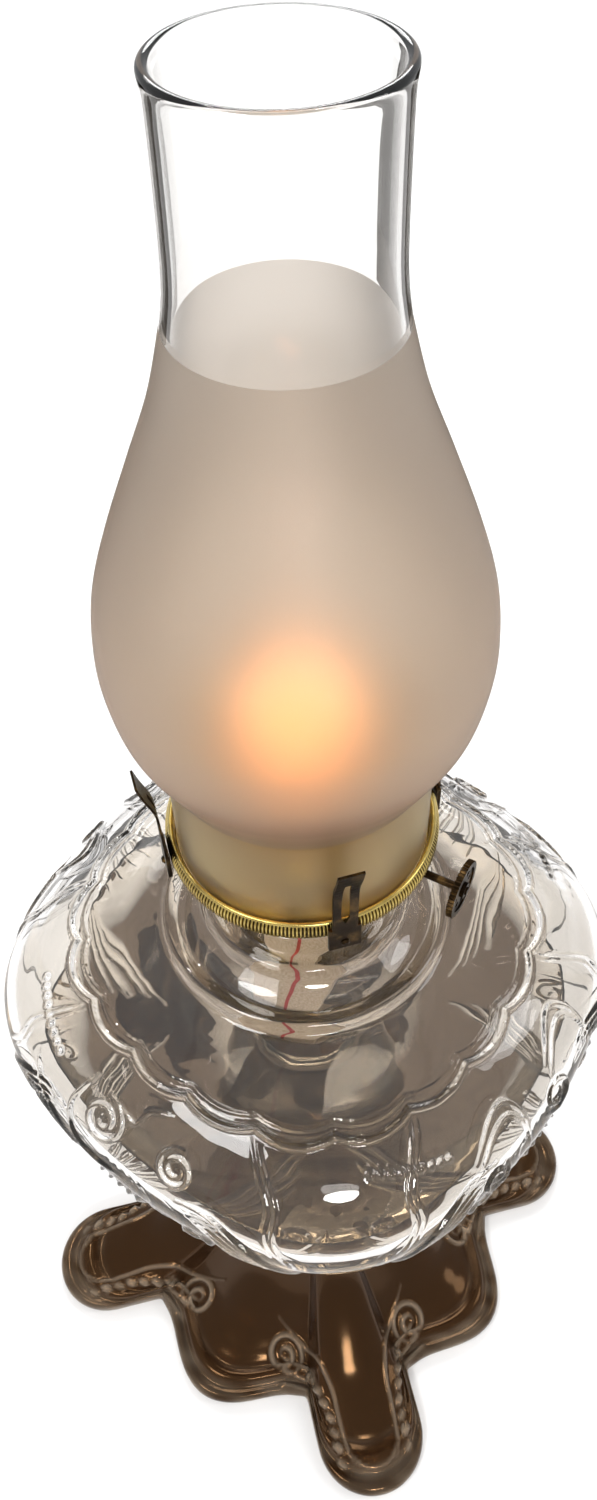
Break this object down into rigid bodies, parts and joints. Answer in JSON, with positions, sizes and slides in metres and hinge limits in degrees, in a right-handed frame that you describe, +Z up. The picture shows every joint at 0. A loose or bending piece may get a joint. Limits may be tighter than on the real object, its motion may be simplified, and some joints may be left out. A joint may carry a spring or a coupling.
{
  "type": "oil lamp",
  "caption": "Pressed-glass table oil lamp on a footed pedestal, with a square-cornered font, a flat-wick burner, a pronged gallery and a frosted bulb chimney.",
  "frame": {"origin": "centre of the base on the table, at the lamp's vertical axis", "axes": "+Z up along the lamp's axis; the four font corners lie on the X and Y axes and the four feet are turned 7 degrees from them; the side seen in use faces -Y"},
  "size_m": [0.261, 0.261, 0.5537],
  "materials": {
    "clear_glass": "clear pressed glass, fire polished, faint seed bubbles and ripples",
    "chimney_glass": "clear blown glass at the top, fine acid frost below the shoulder line",
    "lamp_oil": "clear lamp oil",
    "brass": "stamped sheet brass, lightly aged",
    "aged_bronze": "dark aged brass, worn bright along edges",
    "cement": "dry lamp-collar plaster",
    "wick_cotton": "flat woven cotton webbing, darkened where it burns",
    "red_thread": "dyed cotton tracer thread"
  },
  "bodies": {
    "glass": {"base": "clear_glass", "joining_wafer": "clear_glass", "font": "clear_glass", "lamp_oil": "lamp_oil", "collar": "brass", "collar_cement": "cement"},
    "burner": {"burner_base": "brass", "burner_basket": "brass", "gallery_ring": "brass", "air_diffuser": "brass", "wick_tube": "brass", "vent_tube": "brass", "deflector_cone": "brass", "shaft_bush": "brass"},
    "knob": {"raiser_shaft": "aged_bronze", "spur_wheels": "brass", "thumbwheel": "aged_bronze"},
    "wick": {"wick": "wick_cotton", "wick_tracer": "red_thread"},
    "prong_1": {"prong_1": "aged_bronze", "prong_rivet_1": "aged_bronze"},
    "prong_2": {"prong_2": "aged_bronze", "prong_rivet_2": "aged_bronze"},
    "prong_3": {"prong_3": "aged_bronze", "prong_rivet_3": "aged_bronze"},
    "prong_4": {"prong_4": "aged_bronze", "prong_rivet_4": "aged_bronze"},
    "chimney": {"chimney": "chimney_glass"}
  },
  "joints": [
    {"name": "burner_lift", "type": "slide", "parent": "glass", "child": "burner", "axis": [0, 0, 1], "range_m": [0, 0.03]},
    {"name": "chimney_lift", "type": "slide", "parent": "burner", "child": "chimney", "axis": [0, 0, 1], "range_m": [0, 0.1]},
    {"name": "wick_knob_turn", "type": "hinge", "parent": "burner", "child": "knob", "pos_m": [0.00315, 0.00451, 0.33], "axis": [-0.8191, 0.5736, 0], "range_deg": [-111, 83]},
    {"name": "wick_travel", "type": "slide", "parent": "burner", "child": "wick", "axis": [0, 0, 1], "range_m": [-0.008, 0.006]},
    {"name": "prong_1_flex", "type": "hinge", "parent": "burner", "child": "prong_1", "pos_m": [0.00736, -0.04176, 0.3337], "axis": [0.9848, 0.1736, 0], "range_deg": [-1, 7], "stiffness_Nm_per_rad": 0.6},
    {"name": "prong_2_flex", "type": "hinge", "parent": "burner", "child": "prong_2", "pos_m": [0.04176, 0.00736, 0.3337], "axis": [-0.1736, 0.9848, 0], "range_deg": [-1, 7], "stiffness_Nm_per_rad": 0.6},
    {"name": "prong_3_flex", "type": "hinge", "parent": "burner", "child": "prong_3", "pos_m": [-0.00736, 0.04176, 0.3337], "axis": [-0.9848, -0.1736, 0], "range_deg": [-1, 7], "stiffness_Nm_per_rad": 0.6},
    {"name": "prong_4_flex", "type": "hinge", "parent": "burner", "child": "prong_4", "pos_m": [-0.04176, -0.00736, 0.3337], "axis": [0.1736, -0.9848, 0], "range_deg": [-1, 7], "stiffness_Nm_per_rad": 0.6}
  ],
  "couplings": [
    {"joint": "wick_knob_turn", "follows": "wick_travel", "rad_per_m": 240.96}
  ]
}
